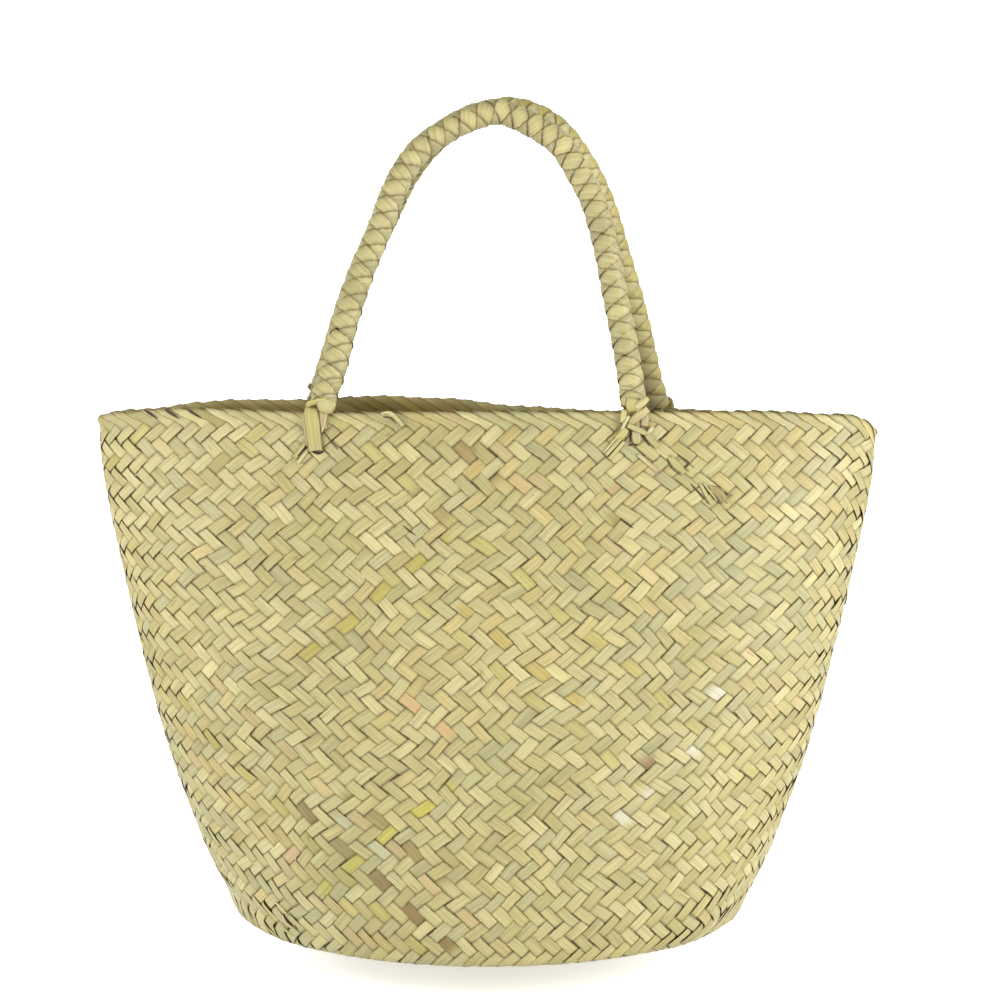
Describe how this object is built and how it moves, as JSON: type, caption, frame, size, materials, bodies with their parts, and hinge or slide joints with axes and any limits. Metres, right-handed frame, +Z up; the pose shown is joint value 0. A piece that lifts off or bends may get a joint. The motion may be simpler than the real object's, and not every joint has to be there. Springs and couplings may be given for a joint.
{
  "type": "straw basket bag with two plaited handles",
  "caption": "Plaited straw basket bag with an oval base, a wide flattened mouth with a folded border, and two round plaited handles.",
  "frame": {"origin": "middle of the flat base, on the surface the bag stands on", "axes": "+Z up, +X along the bag's width, +Y from its front to its back"},
  "size_m": [0.4694, 0.252, 0.5009],
  "materials": {
    "woven_straw": "plaited palm strip, satin",
    "border_straw": "folded palm strip, satin",
    "strip_straw": "flat palm strip, satin",
    "plait_straw": "plaited palm strip, satin"
  },
  "bodies": {
    "root": {"basket_body": "woven_straw", "rim_border": "border_straw", "foot_front_left": "strip_straw", "foot_front_right": "strip_straw", "foot_back_left": "strip_straw", "foot_back_right": "strip_straw", "handle_front": "plait_straw", "handle_back": "plait_straw"}
  },
  "joints": []
}
